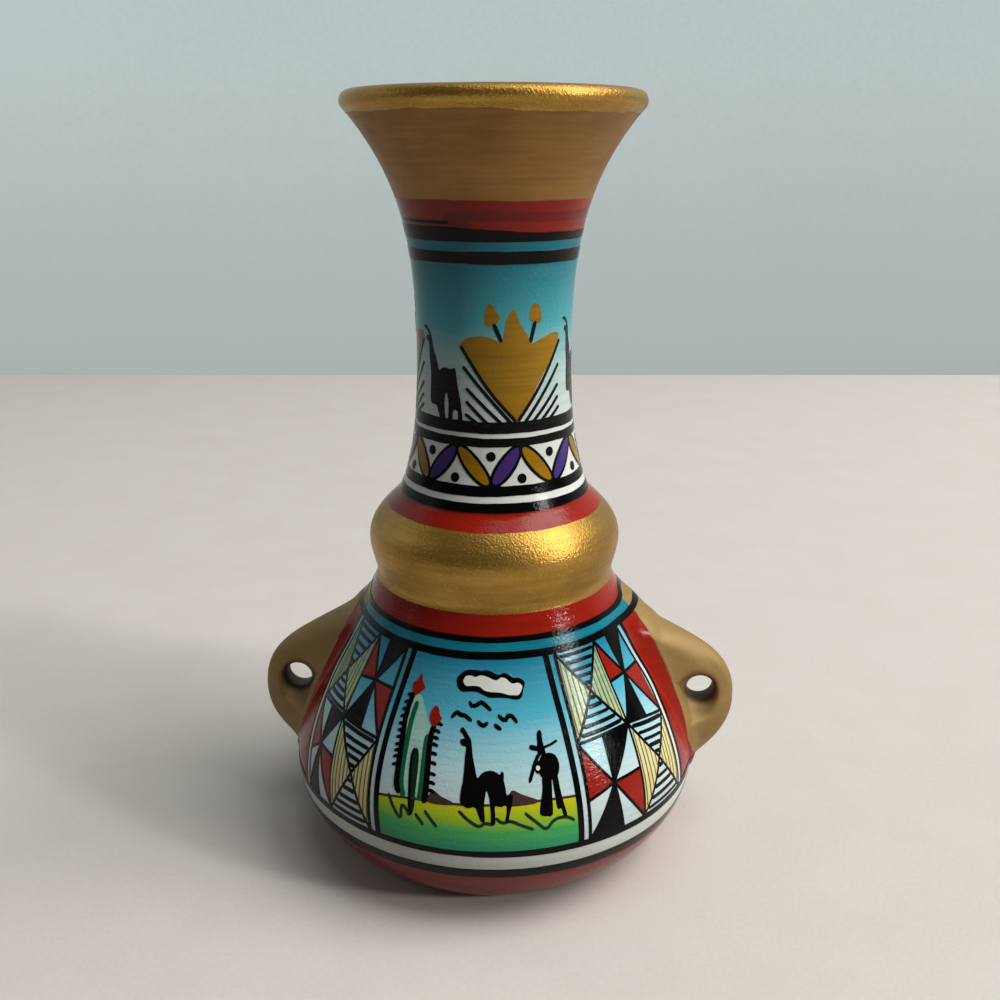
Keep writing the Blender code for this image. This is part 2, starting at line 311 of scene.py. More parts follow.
class Coat:
    """Paint of one colour: thin closed flakes that follow the pot, with their undersides in the clay."""

    def __init__(self, lift, grain=1.0):
        self.shape = bmesh.new()
        self.lift = lift
        self.grain = grain

    def pair(self, angle, height, more=0.0):
        """The upper and lower vertex over one place."""
        return (self.shape.verts.new(on_pot(angle, height, self.lift + more)),
                self.shape.verts.new(on_pot(angle, height, -SINK)))

    def wall(self, a, b):
        """A side face between two pairs of vertices."""
        self.shape.faces.new((a[0], b[0], b[1], a[1]))

    def sheet(self, columns, closed=False):
        """A flake over a grid of places; a closed one goes all round the pot."""
        grid = [[self.pair(*place) for place in column] for column in columns]
        for left, right in zip(grid, grid[1:] + grid[:1] if closed else grid[1:]):
            rows = list(zip(left, right))
            for (a, b), (c, d) in zip(rows, rows[1:]):
                for surface in (0, 1):
                    self.shape.faces.new((a[surface], b[surface], d[surface], c[surface]))
            self.wall(*rows[0])
            self.wall(*rows[-1])
        if not closed:
            for column in (grid[0], grid[-1]):
                for low, high in zip(column, column[1:]):
                    self.wall(low, high)

    def band(self, low, high, start=0.0, end=360.0, turns=FINE_TURNS):
        """A band between two edges, each a height or one by angle."""
        low, high = (edge if callable(edge) else lambda angle, edge=edge: edge for edge in (low, high))
        closed = end - start == 360
        count = max(2, ceil(turns * (end - start) / 360))
        middle = (start + end) / 2
        rows = max(1, ceil((high(middle) - low(middle)) / self.grain))
        columns = []
        for i in range(count if closed else count + 1):
            angle = start + (end - start) * i / count
            bottom, top = low(angle), high(angle)
            columns.append([(angle, bottom + (top - bottom) * row / rows) for row in range(rows + 1)])
        self.sheet(columns, closed)

    def upright(self, centre, low, high, left, right):
        """A strip up the pot beside a line, which is an angle by height, from left to right of it in mm."""
        rows = ceil((high - low) / self.grain)
        parts = max(1, ceil((right - left) / self.grain))
        heights = [low + (high - low) * row / rows for row in range(rows + 1)]
        columns = []
        for part in range(parts + 1):
            across = left + (right - left) * part / parts
            columns.append([(centre(z) + degrees(across / outside(z)[0]), z) for z in heights])
        self.sheet(columns)

    def flat(self, points):
        """Places laid flat in mm, and the mm to a degree there."""
        scale = radians(outside(sum(z for _, z in points) / len(points))[0])
        return [(angle * scale, z) for angle, z in points], scale

    def stroke(self, points, width, blunt=0.5, swollen=0.0):
        """A brush stroke; blunt is its width at the ends and swollen what its middle gains, as shares."""
        line, scale = self.flat(points)
        curve = smoothed(line, min(STROKE_STEP, width), False)
        spans = list(accumulate(((b - a).length for a, b in zip(curve, curve[1:])), initial=0.0))
        columns = []
        for i, (here, span) in enumerate(zip(curve, spans)):
            way = (curve[min(i + 1, len(curve) - 1)] - curve[max(i - 1, 0)]).normalized()
            end = min(1.0, min(span, spans[-1] - span) / (STROKE_TAPER * width))
            half = width / 2 * (blunt + (1 - blunt) * sqrt(end * (2 - end)))
            half *= 1 + swollen * sin(pi * span / spans[-1])
            across = Vector((-way.y, way.x)) * half
            row = ((here - across, 0.0), (here, STROKE_CROWN), (here + across, 0.0))
            columns.append([(spot.x / scale, spot.y, more) for spot, more in row])
        self.sheet(columns)

    def fill(self, points, rounded=True):
        """A filled outline, either a smooth one or one with straight sides."""
        line, scale = self.flat(points)
        step = EDGE_STEP * self.grain
        edge = smoothed(line, step, True) if rounded else straight(line, step)
        left, right = min(p.x for p in edge), max(p.x for p in edge)
        low, high = min(p.y for p in edge), max(p.y for p in edge)
        inner = []
        for column in range(1, ceil((right - left) / self.grain)):
            for row in range(1, ceil((high - low) / self.grain)):
                spot = Vector((left + column * self.grain, low + (row + 0.5 * (column % 2)) * self.grain))
                clear = min((spot - p).length for p in edge) > EDGE_CLEAR * self.grain
                if clear and within(spot, edge):
                    inner.append(spot)
        spots, _, faces, _, _, _ = delaunay_2d_cdt(edge + inner, [], [list(range(len(edge)))], 1, 1e-5)
        pairs = [self.pair(p.x / scale, p.y) for p in spots]
        for face in faces:
            for surface in (0, 1):
                self.shape.faces.new([pairs[i][surface] for i in face])
        uses = Counter(tuple(sorted(side)) for face in faces for side in zip(face, face[1:] + face[:1]))
        for (a, b), count in uses.items():
            if count == 1:
                self.wall(pairs[a], pairs[b])

    def dot(self, angle, height, radius):
        """A round dab."""
        scale = radians(outside(height)[0])
        turns = [tau * i / 8 for i in range(8)]
        self.fill([(angle + radius * cos(t) / scale, height + radius * sin(t)) for t in turns])


def keep(slot, *coats):
    """Ends coats and makes each a piece, from its name, the coat and its paint."""
    for name, coat, material in coats:
        add_piece(name, coat.shape, material, crease=COAT_CREASE)


def add_band(name, material, slot, low, high, lift=PANEL_LIFT, grain=1.0, turns=NECK_TURNS):
    """A plain band all round the pot, as a piece."""
    coat = Coat(lift, grain)
    coat.band(low, high, turns=turns)
    keep(slot, (name, coat, material))


# Materials

def srgb(colour):
    """A colour as it is seen, 0 to 255, in the renderer's own terms."""
    parts = [c / 255 for c in colour]
    return tuple(c / 12.92 if c <= 0.04045 else ((c + 0.055) / 1.055) ** 2.4 for c in parts) + (1.0,)


class Look:
    """A material and short ways to add nodes to it."""

    def __init__(self, name):
        self.material = bpy.data.materials.new(name)
        self.material.use_nodes = True
        self.tree = self.material.node_tree
        self.shader = self.tree.nodes["Principled BSDF"]
        self.place = self.node("TexCoord").outputs["Object"]

    def feed(self, socket, value):
        """Sets a socket to a value, or links it to another node's output."""
        if isinstance(value, bpy.types.NodeSocket):
            self.tree.links.new(value, socket)
        else:
            socket.default_value = value

    def set(self, name, value):
        """Feeds an input of the surface itself."""
        self.feed(self.shader.inputs[name], value)

    def node(self, kind, *values, **named):
        """A node with its first inputs fed in order, and others by name."""
        made = self.tree.nodes.new("ShaderNode" + kind)
        for socket, value in zip(made.inputs, values):
            self.feed(socket, value)
        for name, value in named.items():
            self.feed(made.inputs[name], value)
        return made

    def plus(self, first, second):
        """The sum of two values."""
        return self.node("Math", first, second).outputs[0]

    def noise(self, across, up, detail=3.0, shift=0.0):
        """Noise 0 to 1 with so many waves to the mm across and up the pot."""
        stretched = self.node("Mapping", Vector=self.place, Location=(shift, -shift, shift),
                              Scale=(across / MM, across / MM, up / MM))
        return self.node("TexNoise", Vector=stretched.outputs[0], Scale=1.0, Detail=detail,
                         Roughness=0.55).outputs[0]

    def span(self, value, low, high, to_low=0.0, to_high=1.0):
        """A value's range moved to another, and held there."""
        return self.node("MapRange", value, low, high, to_low, to_high).outputs[0]

    def mixed(self, share, first, second):
        """Two colours mixed by a share."""
        made = self.node("Mix", share)
        made.data_type = "RGBA"
        self.feed(made.inputs[6], first)
        self.feed(made.inputs[7], second)
        return made.outputs[2]

    def ramp(self, value, stops):
        """Colours by value, blended from stop to stop."""
        made = self.node("ValToRGB", value)
        elements = made.color_ramp.elements
        while len(elements) < len(stops):
            elements.new(0.5)
        for element, (at, colour) in zip(elements, stops.items()):
            element.position = at
            element.color = srgb(colour)
        return made.outputs[0]

    def bump(self, *layers):
        """Relief from (height, depth in mm) layers."""
        under = {}
        for height, depth in layers:
            made = self.node("Bump", Height=height, Distance=depth * MM, Strength=1.0, **under)
            under = {"Normal": made.outputs[0]}
        self.set("Normal", under["Normal"])

    def height(self, low, high):
        """0 to 1 from one height on the pot to another, in mm."""
        return self.span(self.node("SeparateXYZ", self.place).outputs[2], low * MM, high * MM)

    def off_axis(self, x, z):
        """Distance from a line along Y, which is given in mm."""
        flat = self.node("VectorMath", self.place, (1, 0, 1))
        flat.operation = "MULTIPLY"
        away = self.node("VectorMath", flat.outputs[0], (x * MM, 0, z * MM))
        away.operation = "DISTANCE"
        return away.outputs["Value"]


def paint(name, full, thin, streak=0.35, shine=0.21, fade=None):
    """Brushed enamel under varnish; thin is where the brush ran dry, fade a range of heights and colours."""
    look = Look(name)
    brush = look.noise(0.06, 1.6, detail=4.0, shift=len(name))
    cloud = look.noise(0.12, 0.12, detail=2.0, shift=2 * len(name))
    varnish = look.noise(2.0, 2.6, detail=2.0, shift=9.0)
    specks = look.span(look.noise(1.1, 1.1, detail=2.0, shift=5.0), 0.72, 0.76)
    if fade:
        low, high, stops = fade
        colour = look.ramp(look.plus(look.height(low, high), look.span(brush, 0.3, 0.7, -0.03, 0.03)), stops)
    else:
        colour = srgb(full)
    streaks = look.span(brush, 0.42, 0.72, 0.0, streak)
    patches = look.span(cloud, 0.35, 0.75, 0.0, streak / 2)
    shade = look.mixed(look.plus(streaks, patches), colour, srgb(thin))
    look.set("Base Color", look.mixed(specks, shade, srgb(thin)))
    look.set("Roughness", look.span(cloud, 0.3, 0.7, 0.06, 0.22))
    look.set("Specular IOR Level", shine)
    look.bump((brush, 0.03), (varnish, 0.055))
    return look.material


def gold(name, full, deep, metallic, roughness, grain, streak, glitter, hole=None):
    """Gold paint with flakes in it, brushed round the pot; it stops at a hole's edge, given as (x, z), for
    bare clay darkened as painted shade.
    """
    look = Look(name)
    brush = look.noise(0.07, 1.4, detail=4.0, shift=3.0)
    flakes = look.noise(2.6, 2.6, detail=1.0, shift=1.0)
    cloud = look.noise(0.1, 0.14, detail=3.0, shift=7.0)
    tone = look.mixed(look.span(brush, 0.35, 0.7, 0.0, streak), srgb(full), srgb(deep))
    tone = look.mixed(look.span(cloud, 0.45, 0.8, 0.0, 0.5), tone, srgb(deep))
    glint = tuple(min(1.0, 1.4 * c) for c in srgb(full)[:3]) + (1.0,)
    tone = look.mixed(look.span(flakes, 0.6, 0.75, 0.0, glitter), tone, glint)
    # Inside a hole the gold gives way to bare clay painted darker than the clay elsewhere: painted shade in
    # the recess
    if hole:
        ragged = look.plus(look.off_axis(*hole), look.span(cloud, 0.3, 0.7, -0.3 * MM, 0.3 * MM))
        covered = look.span(ragged, HOLE_BARE * MM, HOLE_COVERED * MM)
        tone = look.mixed(covered, srgb(HOLE_SHADED_CLAY), tone)
    look.set("Base Color", tone)
    look.set("Metallic", metallic)
    look.set("Roughness", look.span(cloud, 0.3, 0.7, roughness - 0.06, roughness + 0.08))
    look.bump((brush, 0.05 * streak), (flakes, grain))
    return look.material


def clay(name, full, deep):
    """Bare fired clay with throwing lines and grit."""
    look = Look(name)
    lines = look.noise(0.03, 0.9, detail=3.0, shift=4.0)
    grit = look.noise(1.8, 1.8, detail=3.0, shift=6.0)
    tone = look.mixed(look.span(lines, 0.35, 0.7), srgb(full), srgb(deep))
    look.set("Base Color", look.mixed(look.span(grit, 0.62, 0.75, 0.0, 0.5), tone, srgb(deep)))
    look.set("Roughness", look.span(grit, 0.3, 0.7, 0.75, 0.95))
    look.bump((lines, 0.12), (grit, 0.05))
    return look.material


# Bare clay in the lugs' holes, darkened as painted shade, and how far from a hole's axis it shows bare and
# where the gold covers it, in mm
HOLE_SHADED_CLAY, HOLE_BARE, HOLE_COVERED = (84, 56, 30), 2.6, 3.5
PANEL_LOW, PANEL_HIGH = 17.3, 46.5
CLAY = clay("bare_clay", (176, 98, 62), (140, 74, 46))
RED = paint("red_paint", (148, 28, 14), (118, 18, 10))
DEEP_RED = paint("deep_red_paint", (120, 21, 12), (104, 18, 11), 0.6)
BLACK = paint("black_paint", (5, 5, 6), (13, 12, 11), shine=0.12)
WHITE = paint("white_paint", (220, 224, 217), (192, 196, 188))
TEAL = paint("teal_paint", (20, 122, 142), (12, 92, 110), 0.5)
YELLOW = paint("yellow_paint", (158, 116, 8), (118, 84, 5), 0.5)
PURPLE = paint("purple_paint", (70, 46, 120), (50, 34, 92), 0.5)
CREAM = paint("cream_paint", None, (226, 220, 180), 0.4, fade=(PANEL_LOW, PANEL_HIGH, {
    0.0: (214, 196, 126), 0.4: (216, 206, 152), 0.7: (146, 182, 144), 1.0: (74, 150, 142)}))
OLIVE = paint("olive_paint", (96, 88, 40), (128, 118, 62), 0.4)
MINT = paint("mint_paint", (168, 208, 196), (120, 178, 156), 0.6)
LEAF = paint("leaf_paint", (22, 100, 66), (14, 70, 48), 0.6)
BROWN = paint("brown_paint", (74, 52, 48), (50, 34, 32), 0.5)
SHADOW = paint("shadow_paint", (14, 38, 20), (30, 62, 26), 0.7)
NECK_SKY = paint("neck_sky_paint", None, (84, 168, 182), 0.22, fade=(86.9, 112.5, {
    0.0: (208, 214, 210), 0.3: (176, 204, 202), 0.6: (70, 164, 176), 1.0: (4, 112, 128)}))
BELLY_SKY = paint("belly_sky_paint", None, (104, 182, 204), 0.25, fade=(24.0, PANEL_HIGH, {
    0.0: (208, 216, 212), 0.3: (174, 212, 218), 0.62: (78, 172, 196), 1.0: (8, 112, 142)}))
EDGING = paint("edging_paint", None, (196, 208, 206), 0.2, fade=(32.0, PANEL_HIGH, {
    0.0: (220, 224, 217), 0.5: (184, 212, 216), 1.0: (86, 164, 184)}))
GROUND = paint("ground_paint", None, (120, 176, 60), 0.2, fade=(PANEL_LOW, 25.2, {
    0.0: (28, 146, 118), 0.4: (52, 164, 88), 0.7: (164, 188, 30), 1.0: (206, 196, 26)}))
DULL = ((152, 122, 69), (132, 102, 54), 0.25, 0.55, 0.03, 0.3, 0.2)
BRIGHT_GOLD = gold("bright_gold", (176, 136, 62), (110, 79, 31), 0.85, 0.36, 0.1, 0.35, 0.6)
DULL_GOLD = gold("dull_gold", *DULL)
THROAT_GOLD = gold("throat_gold", (154, 110, 50), (112, 76, 28), 0.4, 0.5, 0.03, 0.45, 0.25)


# Clay bodies

FOOT_RADIUS, FOOT_EDGE, FLOOR = 28.7, 0.3, 5.0
BELLY_WALL, NECK_WALL = 4.2, 3.6
COLLAR_LOW, COLLAR_HIGH = 54.2, 70.8
belly_skin = [(FOOT_RADIUS, 0.0)] + [p for p in inside(BELLY_OUT, CLAY_DEPTH) if p[1] > FOOT_EDGE]
belly_in = [p for p in inside(BELLY_OUT, BELLY_WALL) if p[1] > FLOOR][::-1]
belly_loop = [(0, 0)] + belly_skin + belly_in + [(belly_in[-1][0], FLOOR), (0, FLOOR)]
collar_in = outline((18.4, COLLAR_LOW), ((18.8, 59.0), (18.0, 66.0), (14.4, COLLAR_HIGH)), steps=12)
collar_loop = [(22.2, COLLAR_LOW)] + inside(COLLAR_OUT, CLAY_DEPTH) + [(17.4, COLLAR_HIGH)] + collar_in[::-1]
neck_in = inside(NECK_OUT, NECK_WALL)[-2::-1]
neck_loop = inside(NECK_OUT + LIP + neck_in, CLAY_DEPTH)
add_piece("belly_clay", turned(belly_loop, BELLY_TURNS), CLAY, "belly")
add_piece("collar_clay", turned(collar_loop, NECK_TURNS), CLAY, "collar")
add_piece("neck_clay", turned(neck_loop, NECK_TURNS), CLAY, "neck")


# Lugs

LUG_TOP, LUG_BOTTOM, LUG_SINK, LUG_ROOT = 50.0, 14.0, 0.3, 1.5
LUG_ROWS, LUG_COLUMNS, LUG_VOXEL, LUG_RELAX = 34, 32, 0.34, 24
LUG_THIN, LUG_EDGE, LUG_INSET, LUG_FOOT_INSET, LUG_LEAST = 2.2, 6.0, 0.45, 0.27, 0.05
LUG_TOP_PULL, LUG_CROWN_PULL, LUG_FOOT_PULL, LUG_FOOT_BEND = 6.0, 6.5, 3.0, 16.0
LUG_RIDGE_HALF, LUG_RIDGE_GROWS = 5.0, (41, 45)
HOLE_RADIUS, HOLE_MOUTH, HOLE_STRAIGHT, HOLE_DEPTH, HOLE_FLARE = 2.6, 4.8, 1.4, 4.2, 1.6
HOLE_STEPS, HOLE_END, HOLE_TURNS = (1.7, 2.4, 3.0, 3.6, HOLE_DEPTH), 9, 48
PAD_LOW, PAD_HIGH, PAD_LIFT, PAD_DIVE = 16.6, 47.6, 0.04, 0.4
PAD_WIDER, PAD_RIM, PAD_TOP_RIM, PAD_FOOT_RIM = 1.03, (0.86, 1.0), (45.4, 46.8), (18.8, 17.2)
PAD_ROWS, PAD_COLUMNS = 80, 24
# How far the gold wash round a lug goes to each side, in degrees, from its top to its foot
WASH_SIDES = {
    -1: [(0.0, 48.6), (9.2, 46.9), (10.2, 45.0), (12.6, 40.0), (12.0, 33.8), (12.1, 28.4), (12.4, 24.5),
         (11.8, 20.8), (9.0, 18.2), (5.0, 17.0), (0.0, 16.4)],
    1: [(0.0, 48.4), (9.4, 48.2), (9.1, 46.6), (10.7, 43.1), (10.4, 38.8), (10.2, 34.1), (10.2, 29.3),
        (10.7, 25.4), (11.4, 21.8), (10.2, 18.6), (6.0, 17.0), (0.0, 16.4)]}


def lug_pad(side):
    """The clay smeared round a lug's root: a pad in the belly, whose rim dives under the wash."""
    half_angles = WASH_SIDES[side][:0:-1]
    rings = []
    for row in range(PAD_ROWS + 1):
        height = PAD_LOW + (PAD_HIGH - PAD_LOW) * row / PAD_ROWS
        belly = outside(height)[0]
        reach = PAD_WIDER * along(half_angles, height)
        ends = max(ease(height, *PAD_TOP_RIM), ease(height, *PAD_FOOT_RIM))
        outer, inner = [], []
        for column in range(-PAD_COLUMNS, PAD_COLUMNS + 1):
            share = column / PAD_COLUMNS
            angle = 90 * side + share * reach
            dive = PAD_DIVE * max(ends, ease(abs(share), *PAD_RIM))
            outer.append(round_at(angle, belly + swell(angle, height, belly) + PAD_LIFT - dive, height))
            inner.append(round_at(angle, belly - LUG_ROOT, height))
        rings.append(outer + inner[::-1])
    return lofted(rings)


def lug_half(side, above, crest, height, from_edge):
    """Half of a lug's thickness: a fin with hollow flanks and a rounded edge, which ends as a low ridge."""
    most, foot = smear(side, height)
    foot = max(LUG_LEAST, foot)
    above, crest = (max(LUG_LEAST, d + LUG_INSET * (1 - ease(d, 0, most * foot))) for d in (above, crest))
    near_edge = max(0.0, 1 - from_edge / LUG_EDGE)
    flank = max(LUG_THIN, FLANK_REACH - LUG_FOOT_INSET - FLANK_SPREAD * sqrt(above / foot))
    fin = flank * sqrt(1 - near_edge ** 2)
    low_ridge = min(FLANK_REACH, LUG_RIDGE_HALF * sqrt(max(0.0, log(crest / above))))
    return fin + (low_ridge - fin) * ease(height, *LUG_RIDGE_GROWS)


def lug_fin(side, edges):
    """The ear itself, from a root in the belly out to its edge."""
    rings = []
    for row, edge in enumerate(edges):
        height = LUG_TOP + (LUG_BOTTOM - LUG_TOP) * row / (len(edges) - 1)
        root = Vector((outside(height)[0] - LUG_ROOT, height))
        across = Vector(edge) - root
        crest = edge[0] - outside(edge[1])[0]
        half_ring = []
        for column in range(LUG_COLUMNS + 1):
            share = sin(pi / 2 * column / LUG_COLUMNS)
            place = root + share * across
            belly = outside(place.y)[0]
            half = lug_half(side, place.x - belly, crest, place.y, (1 - share) * across.length)
            half_ring.append((degrees(half / belly), place.x, place.y))
        rings.append([round_at(side * (90 + turn), r, z) for turn, r, z in half_ring]
                     + [round_at(side * (90 - turn), r, z) for turn, r, z in half_ring[-2::-1]])
    return lofted(rings)


def lug_hole():
    """What a thumb pressed out of a lug from both sides, along Z."""
    wide = HOLE_MOUTH + 2
    funnel = [(0, -HOLE_END), (wide, -HOLE_END)]
    for depth in [-step for step in HOLE_STEPS[::-1]] + [0, *HOLE_STEPS]:
        flare = max(0.0, abs(depth) - HOLE_STRAIGHT) / (HOLE_DEPTH - HOLE_STRAIGHT)
        funnel.append((HOLE_RADIUS + (HOLE_MOUTH - HOLE_RADIUS) * flare ** HOLE_FLARE, depth))
    return turned(funnel + [(wide, HOLE_END), (0, HOLE_END)], HOLE_TURNS)


def add_lug(name, side, reach, crown_height, shoulders, hole):
    """A pinched ear, its root in the belly, pierced by a hole at a radius and a height."""
    top, bottom = (outside(LUG_TOP)[0] - LUG_SINK, LUG_TOP), (outside(LUG_BOTTOM)[0] + LUG_SINK, LUG_BOTTOM)
    upper = ((top[0] + LUG_TOP_PULL, shoulders[0]), (reach, shoulders[1]), (reach, crown_height))
    lower = ((reach, crown_height - LUG_CROWN_PULL), (bottom[0] + LUG_FOOT_PULL, LUG_FOOT_BEND), bottom)
    look = gold(name + "_gold", *DULL, hole=(side * hole[0], hole[1]))
    lug = add_piece(name, lug_fin(side, outline(top, upper, lower, steps=LUG_ROWS)), look, name)
    pad, drill = new_solid("pad", lug_pad(side)), new_solid("drill", lug_hole())
    drill.rotation_euler = (pi / 2, 0, 0)
    drill.location = (side * hole[0] * MM, 0, hole[1] * MM)
    for tool, work in ((pad, "UNION"), (drill, "DIFFERENCE")):
        step = lug.modifiers.new(tool.name, "BOOLEAN")
        step.operation = work
        step.object = tool
    soft = lug.modifiers.new("soft", "REMESH")
    soft.mode = "VOXEL"
    soft.voxel_size = LUG_VOXEL * MM
    soft.use_smooth_shade = True
    relax = lug.modifiers.new("relax", "SMOOTH")
    relax.factor = 0.5
    relax.iterations = LUG_RELAX
    bpy.context.view_layer.update()
    done = bpy.data.meshes.new_from_object(lug.evaluated_get(bpy.context.evaluated_depsgraph_get()))
    lug.modifiers.clear()
    lug.data = done
    done.shade_smooth()
    for tool in (pad, drill):
        bpy.data.objects.remove(tool)


add_lug("lug_left", -1, 47.0, 26.4, (40.0, 40.8), (39.8, 29.3))
add_lug("lug_right", 1, 47.6, 27.3, (40.5, 42.5), (40.8, 29.8))


# Coats on the belly: a picture between two patterned panels in front, and the same mirrored on the back

PICTURES = ((0.0, 1), (180.0, -1))
PICTURE_SIDES = {
    -1: [(-25.2, 16.6), (-27.9, 26.0), (-28.8, 34.1), (-28.2, 41.0), (-27.0, 47.0)],
    1: [(26.4, 16.6), (26.8, 26.0), (26.3, 34.6), (25.2, 41.0), (24.0, 47.0)]}
PANEL_SIDES = {
    -1: [(-57.6, 16.6), (-60.4, 21.0), (-64.2, 26.0), (-68.6, 32.0), (-71.8, 38.0), (-70.4, 47.0)],
    1: [(67.2, 16.6), (68.4, 21.4), (69.6, 26.0), (71.4, 31.3), (72.4, 37.0), (68.4, 47.0)]}
SIDE_STEP = 0.7
for sides in (PICTURE_SIDES, PANEL_SIDES):
    for side, points in sides.items():
        sides[side] = smoothed(points, SIDE_STEP, False)
PANEL_FOOT, PANEL_TOP, HORIZON_AT = 17.0, 46.8, 24.0
SKY_GRID, GROUND_GRID = (120, 30), (40, 9)
EDGING_SPAN, FRAME_SPAN = (16.6, 46.9), (16.8, 47.0)
SHOULDER_TEAL, SHOULDER_GOLD = (47.4, 49.4), (47.2, 49.5)
TEAL_STRETCHES, GOLD_STRETCHES = ((-72.0, 80.0), (102.5, 252.5)), ((-108.0, -71.5), (79.5, 103.0))
RISE, RISE_SPREAD = 1.2, 11


def edge_of(sides, middle, hand, side):
    """One side of a picture or a panel, as an angle by height."""
    return lambda z: middle + hand * along(sides[side], z)


def sheet_between(coat, sides, middle, hand, top, count, rows):
    """A flake from one side of a picture or a panel to the other, up to a height by angle."""
    left, right = (edge_of(sides, middle, hand, side) for side in SIDES)
    columns = []
    for i in range(count + 1):
        share = i / count
        high = top(left(HORIZON_AT) + share * (right(HORIZON_AT) - left(HORIZON_AT)))
        heights = [PANEL_FOOT + (high - PANEL_FOOT) * row / rows for row in range(rows + 1)]
        columns.append([(left(z) + share * (right(z) - left(z)), z) for z in heights])
    coat.sheet(columns)


def strips(coat, sides, near, far, span):
    """Strips along every side of the pictures or the panels, from near to far of it in mm."""
    for middle, hand in PICTURES:
        for side in SIDES:
            left, right = sorted((hand * side * near, hand * side * far))
            coat.upright(edge_of(sides, middle, hand, side), *span, left, right)


def rise(angle):
    """How far the shoulder lines rise where they pass over the lugs."""
    return sum(RISE * exp(-(from_lug(angle, side) / RISE_SPREAD) ** 2) for side in SIDES)


def shoulder_band(coat, heights, stretches):
    """Stretches of a band that rises over the lugs."""
    low, high = heights
    for start, end in stretches:
        coat.band(lambda a: low + rise(a), lambda a: high + rise(a), start, end)


def line_round(coat, low, high, seed, size=0.06, rises=(0, 0), turns=FINE_TURNS):
    """A line round the pot by an unsteady hand; rises are shares of the rise over the lugs."""
    under, over = wobble(seed, size), wobble(seed + 20, size)
    coat.band(lambda a: low + under(a) + rises[0] * rise(a),
              lambda a: high + over(a) + rises[1] * rise(a), turns=turns)


add_band("belly_red", RED, BELLY, 0.35, 53.9, BASE_LIFT, turns=FINE_TURNS)

wash = Coat(COLOUR_LIFT + 0.01, 0.6)
for side, points in WASH_SIDES.items():
    ring = [(-angle, z) for angle, z in points] + points[-2:0:-1]
    wash.fill(placed(ring, 90.0 * side), rounded=False)
shoulder_band(wash, SHOULDER_GOLD, GOLD_STRETCHES)
keep(BELLY, ("lug_wash", wash, DULL_GOLD))

teal = Coat(PANEL_LIFT)
shoulder_band(teal, SHOULDER_TEAL, TEAL_STRETCHES)
keep(BELLY, ("belly_teal", teal, TEAL))

add_band("belly_white", WHITE, BELLY, 13.2, 16.4, turns=BELLY_TURNS)

edging = Coat(PANEL_LIFT + 0.015)
strips(edging, PANEL_SIDES, -1.4, 0.3, EDGING_SPAN)
keep(BELLY, ("panel_edging", edging, EDGING))

sky = Coat(PANEL_LIFT)
for middle, hand in PICTURES:
    sheet_between(sky, PANEL_SIDES, middle, hand, lambda angle: PANEL_TOP, *SKY_GRID)
keep(BELLY, ("belly_sky", sky, BELLY_SKY))

line = Coat(LINE_LIFT)
line_round(line, 49.1, 50.05, 1, rises=(1.2, 1))
line_round(line, 46.5, 47.7, 2, rises=(1.2, 1))
line_round(line, 16.1, 17.3, 3)
line_round(line, 11.3, 13.4, 4)
for sides, near, far in ((PICTURE_SIDES, -0.1, 1.0), (PICTURE_SIDES, 1.85, 2.5),
                         (PANEL_SIDES, -1.75, -1.15), (PANEL_SIDES, -0.2, 0.75)):
    strips(line, sides, near, far, FRAME_SPAN)
keep(BELLY, ("belly_lines", line, BLACK))


# Side patterns: two by two cells, some with pinwheels and some with hatched crosses

pinwheel_red, pinwheel_black, cream = Coat(COLOUR_LIFT), Coat(COLOUR_LIFT), Coat(COLOUR_LIFT)
stripes, hatch = Coat(LINE_LIFT), Coat(LINE_LIFT)
luck = random.Random(7)
HATCH_COUNT, HATCH_WIDTH, STRIPE_WIDTH, SPOKE_WIDTH = 5, 0.62, 0.26, 0.52
PATTERN_TOP, PATTERN_FOOT = 46.6, 17.1
PANEL_INSET, PICTURE_INSET = 1.45, 2.2


def ruled(coat, a, b, tip, width):
    """Strokes side by side across a triangle, from its side a-b towards its tip."""
    for i in range(HATCH_COUNT):
        share = (i + 0.65) / (HATCH_COUNT + 0.6) + luck.uniform(-0.015, 0.015)
        start, end = between(a, tip, share), between(b, tip, share)
        points = [between(start, end, way) for way in (0.04, 0.5, 0.96)]
        coat.stroke(points, width * luck.uniform(0.85, 1.15))


def drawn_in(*points):
    """Places drawn a little towards their middle, so that each flake ends clear of the next."""
    centre = [sum(p[i] for p in points) / len(points) for i in (0, 1)]
    return [between(p, centre, 0.01) for p in points]


def spokes(places, middle):
    """Lines from the edge of a cell to its middle, and a little past both."""
    for place in places:
        hatch.stroke([between(place, middle, way) for way in (-0.01, 0.5, 1.01)], SPOKE_WIDTH, blunt=0.9)


def pinwheel(corners, halves, middle):
    """Eight triangles round the middle: red and black ones, with bare ones between."""
    ring = [place for pair in zip(corners, halves) for place in pair]
    for coat, a in ((pinwheel_black, 1), (pinwheel_red, 3), (pinwheel_black, 5), (pinwheel_red, 7)):
        coat.fill(drawn_in(ring[a], ring[(a + 1) % 8], middle), rounded=False)
    spokes(ring, middle)


def cross(corners, halves, middle):
    """Two hatched and two striped triangles that meet in the middle."""
    top_left, top_right, low_right, low_left = corners
    for a, b in ((top_left, top_right), (low_left, low_right)):
        ruled(hatch, a, b, middle, HATCH_WIDTH)
    for a, half, b in ((top_left, halves[3], low_left), (top_right, halves[1], low_right)):
        cream.fill(drawn_in(a, half, b, middle), rounded=False)
        ruled(stripes, a, b, middle, STRIPE_WIDTH)
    spokes(corners, middle)


# By side: angles of the line between the columns, heights of the line between the rows, the cells' middles
PATTERNS = {
    -1: ((-48.9, -49.8, -43.6), (31.8, 32.1, 31.8),
         ((-59.8, 38.4), (-41.9, 39.8), (-55.6, 25.7), (-38.3, 25.0))),
    1: ((48.5, 50.2, 47.6), (32.5, 32.7, 30.7), ((39.9, 39.7), (58.5, 39.8), (39.0, 25.3), (58.3, 25.0)))}


